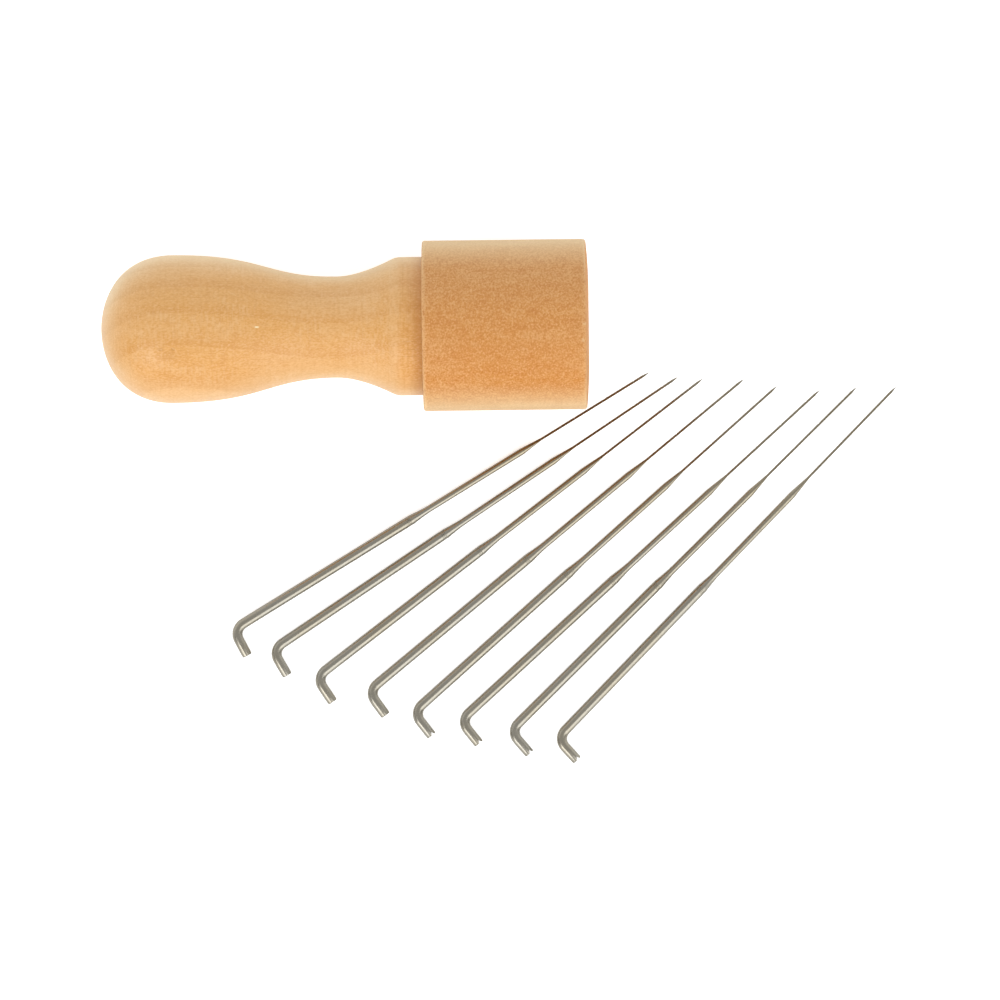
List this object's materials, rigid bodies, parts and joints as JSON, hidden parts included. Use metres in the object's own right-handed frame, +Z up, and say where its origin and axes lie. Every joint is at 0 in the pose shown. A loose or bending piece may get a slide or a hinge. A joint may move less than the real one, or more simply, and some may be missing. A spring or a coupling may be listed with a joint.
{
  "type": "multi-needle felting tool",
  "caption": "Turned wooden felting tool with a bulb handle and a screw-on needle cap, lying behind its fanned-out set of bent-shank barbed steel felting needles.",
  "frame": {"origin": "on the surface that the set lies on, under the middle of its outline seen from above", "axes": "+Z up; +X along the row from the bulb end of the handle towards the needle points; +Y from the needles towards the holder"},
  "size_m": [0.144, 0.0946, 0.0318],
  "materials": {
    "handle_wood": "fine-sanded, unvarnished, satin",
    "cap_wood": "fine-sanded, unvarnished, satin",
    "needle_steel": "polished hardened wire"
  },
  "bodies": {
    "handle": {"handle": "handle_wood"},
    "needle_cap": {"needle_cap": "cap_wood"},
    "needle_1": {"needle_1": "needle_steel"},
    "needle_2": {"needle_2": "needle_steel"},
    "needle_3": {"needle_3": "needle_steel"},
    "needle_4": {"needle_4": "needle_steel"},
    "needle_5": {"needle_5": "needle_steel"},
    "needle_6": {"needle_6": "needle_steel"},
    "needle_7": {"needle_7": "needle_steel"},
    "needle_8": {"needle_8": "needle_steel"}
  },
  "joints": [
    {"name": "cap_unscrews", "type": "slide", "parent": "handle", "child": "needle_cap", "axis": [0.9989, 0.0124, 0.0444], "range_m": [0, 0.03]},
    {"name": "needle_1_lifts", "type": "slide", "parent": "handle", "child": "needle_1", "axis": [0, 0, 1], "range_m": [0, 0.04]},
    {"name": "needle_2_lifts", "type": "slide", "parent": "handle", "child": "needle_2", "axis": [0, 0, 1], "range_m": [0, 0.04]},
    {"name": "needle_3_lifts", "type": "slide", "parent": "handle", "child": "needle_3", "axis": [0, 0, 1], "range_m": [0, 0.04]},
    {"name": "needle_4_lifts", "type": "slide", "parent": "handle", "child": "needle_4", "axis": [0, 0, 1], "range_m": [0, 0.04]},
    {"name": "needle_5_lifts", "type": "slide", "parent": "handle", "child": "needle_5", "axis": [0, 0, 1], "range_m": [0, 0.04]},
    {"name": "needle_6_lifts", "type": "slide", "parent": "handle", "child": "needle_6", "axis": [0, 0, 1], "range_m": [0, 0.04]},
    {"name": "needle_7_lifts", "type": "slide", "parent": "handle", "child": "needle_7", "axis": [0, 0, 1], "range_m": [0, 0.04]},
    {"name": "needle_8_lifts", "type": "slide", "parent": "handle", "child": "needle_8", "axis": [0, 0, 1], "range_m": [0, 0.04]}
  ]
}
